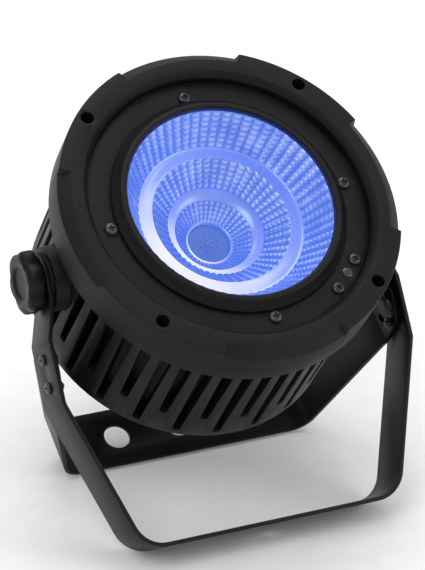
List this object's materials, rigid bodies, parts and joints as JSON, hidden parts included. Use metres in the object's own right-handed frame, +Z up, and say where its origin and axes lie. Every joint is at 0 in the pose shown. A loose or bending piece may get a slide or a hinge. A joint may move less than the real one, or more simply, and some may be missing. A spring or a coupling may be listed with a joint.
{
  "type": "par can light",
  "caption": "Stage par can with a finned housing, faceted reflector and single blue emitter, standing on a folding double bracket.",
  "frame": {"origin": "on the floor, under the centre of the bounding box", "axes": "+X along the tilt axis to the right of someone facing the lens, +Z up; the lamp faces -Y and up"},
  "size_m": [0.2884, 0.273, 0.3046],
  "materials": {
    "zinc_steel": "zinc plated",
    "black_casting": "black powder coat on die-cast aluminium",
    "black_powder_coat": "black powder coat on steel sheet",
    "metallised_reflector": "vacuum metallised, faceted",
    "clear_glass": "clear",
    "black_rubber": "matte",
    "black_nylon": "fine texture",
    "bare_aluminium": "machined",
    "emitter": "phosphor disc, lit blue",
    "green_board": "solder mask",
    "dark_window": "tinted, glossy",
    "blue_nylon": "fine texture",
    "grey_nylon": "fine texture"
  },
  "bodies": {
    "yoke": {"front_yoke": "black_powder_coat", "friction_washer_left": "black_rubber", "friction_washer_right": "black_rubber", "stand_pivot_screw_left": "zinc_steel", "stand_pivot_screw_right": "zinc_steel", "stand_lock_screw_left": "zinc_steel", "stand_lock_screw_right": "zinc_steel"},
    "lamp": {"bezel_gasket": "black_rubber", "cob_holder": "black_nylon", "cob_led": "emitter", "display_window": "dark_window", "dmx_in": "black_nylon", "dmx_out": "black_nylon", "driver_board": "green_board", "front_glass": "clear_glass", "front_plate": "black_casting", "front_ring": "black_casting", "heatsink_core": "bare_aluminium", "housing": "black_casting", "lens_bezel": "black_casting", "plate_screw_1": "zinc_steel", "plate_screw_2": "zinc_steel", "plate_screw_3": "zinc_steel", "plate_screw_4": "zinc_steel", "power_in": "blue_nylon", "power_out": "grey_nylon", "rear_cover": "black_casting", "rear_cover_screw_1": "zinc_steel", "rear_cover_screw_2": "zinc_steel", "rear_cover_screw_3": "zinc_steel", "rear_cover_screw_4": "zinc_steel", "reflector": "metallised_reflector", "ring_screw_1": "zinc_steel", "ring_screw_2": "zinc_steel", "ring_screw_3": "zinc_steel", "ring_screw_4": "zinc_steel", "safety_eye": "zinc_steel", "sensor_screw_1": "zinc_steel", "sensor_screw_2": "zinc_steel", "sensor_window": "dark_window", "trunnion_left": "black_casting", "trunnion_right": "black_casting"},
    "knob_left": {"knob_left": "black_nylon"},
    "knob_right": {"knob_right": "black_nylon"},
    "stand": {"stand_bracket": "black_powder_coat"},
    "button_1": {"button_1": "black_rubber"},
    "button_2": {"button_2": "black_rubber"},
    "button_3": {"button_3": "black_rubber"},
    "button_4": {"button_4": "black_rubber"}
  },
  "joints": [
    {"name": "lamp_tilt", "type": "hinge", "parent": "yoke", "child": "lamp", "pos_m": [0, 0.00358, 0.17766], "axis": [1, 0, 0], "range_deg": [-120, 120]},
    {"name": "stand_fold", "type": "hinge", "parent": "yoke", "child": "stand", "pos_m": [0, -0.02833, 0.13163], "axis": [1, 0, 0], "range_deg": [-45, 6]},
    {"name": "knob_left_turn", "type": "hinge", "parent": "yoke", "child": "knob_left", "pos_m": [0, 0.00358, 0.17766], "axis": [1, 0, 0], "continuous": true},
    {"name": "knob_right_turn", "type": "hinge", "parent": "yoke", "child": "knob_right", "pos_m": [0, 0.00358, 0.17766], "axis": [1, 0, 0], "continuous": true},
    {"name": "button_1_press", "type": "slide", "parent": "lamp", "child": "button_1", "axis": [0, -0.5717, 0.8204], "range_m": [0, 0.001], "stiffness_N_per_m": 300, "springref_m": -0.001},
    {"name": "button_2_press", "type": "slide", "parent": "lamp", "child": "button_2", "axis": [0, -0.5717, 0.8204], "range_m": [0, 0.001], "stiffness_N_per_m": 300, "springref_m": -0.001},
    {"name": "button_3_press", "type": "slide", "parent": "lamp", "child": "button_3", "axis": [0, -0.5717, 0.8204], "range_m": [0, 0.001], "stiffness_N_per_m": 300, "springref_m": -0.001},
    {"name": "button_4_press", "type": "slide", "parent": "lamp", "child": "button_4", "axis": [0, -0.5717, 0.8204], "range_m": [0, 0.001], "stiffness_N_per_m": 300, "springref_m": -0.001}
  ]
}
